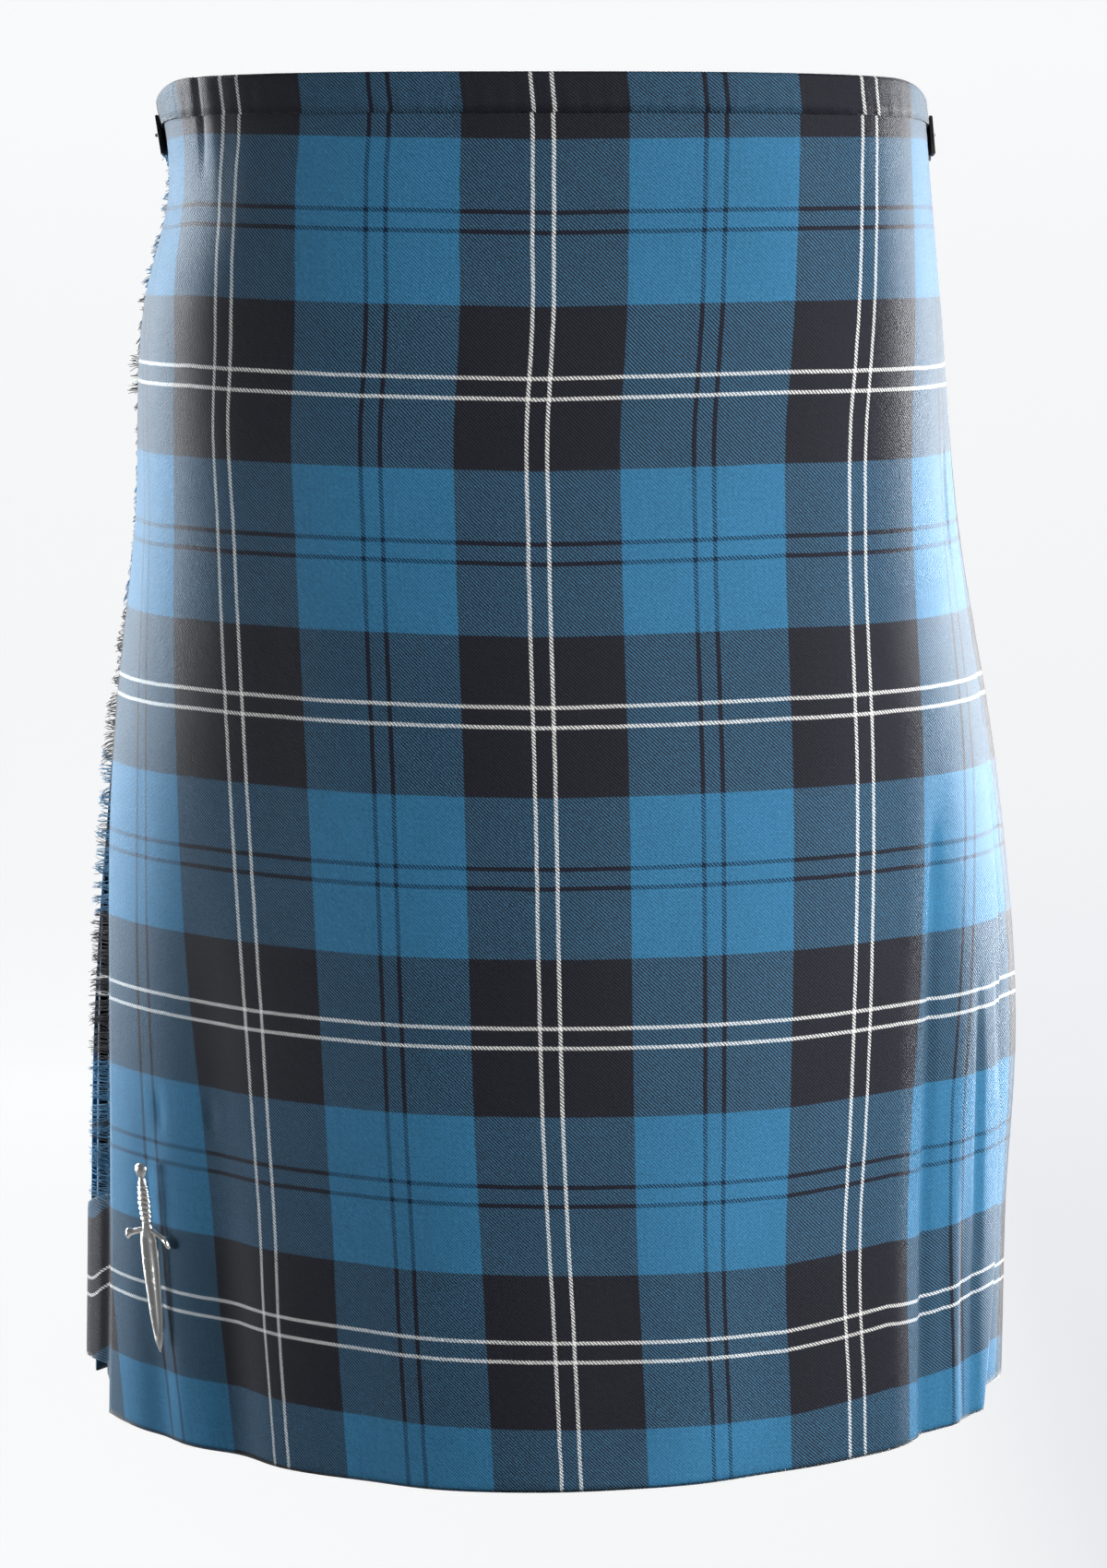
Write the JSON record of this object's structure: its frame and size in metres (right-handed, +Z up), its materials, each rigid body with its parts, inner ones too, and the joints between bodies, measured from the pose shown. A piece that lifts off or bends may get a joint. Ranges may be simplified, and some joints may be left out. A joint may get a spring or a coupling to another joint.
{
  "type": "scottish kilt",
  "caption": "Tartan kilt in its worn shape with a flat over apron in front, a fringed edge with a dagger-shaped pin, knife pleats round the back, and a strap and buckle at each hip.",
  "frame": {"origin": "centre of the waist opening, half way down the waistband, where the wearer's waist holds the kilt up", "axes": "+Z up towards the waist's top edge, -Y towards the front (the over apron), +X towards the wearer's left"},
  "size_m": [0.4231, 0.3397, 0.61],
  "materials": {
    "tartan": "matt wool twill, blue and black check with white and navy lines",
    "waistband_tartan": "matt wool twill, the same tartan",
    "fringe_thread": "loose wool threads, coloured by the tartan's bands",
    "black_leather": "smooth, satin",
    "polished_metal": "polished, with dark recesses on the pin"
  },
  "bodies": {
    "root": {"over_apron": "tartan", "under_apron": "tartan", "pleats": "tartan", "over_apron_band": "waistband_tartan", "under_apron_band": "waistband_tartan", "pleats_band": "waistband_tartan", "over_apron_fringe": "fringe_thread", "right_strap": "black_leather", "right_buckle_chape": "black_leather", "right_buckle": "polished_metal", "right_buckle_tongue": "polished_metal", "left_strap": "black_leather", "left_buckle_chape": "black_leather", "left_buckle": "polished_metal", "left_buckle_tongue": "polished_metal", "kilt_pin": "polished_metal", "kilt_pin_needle": "polished_metal"}
  },
  "joints": []
}
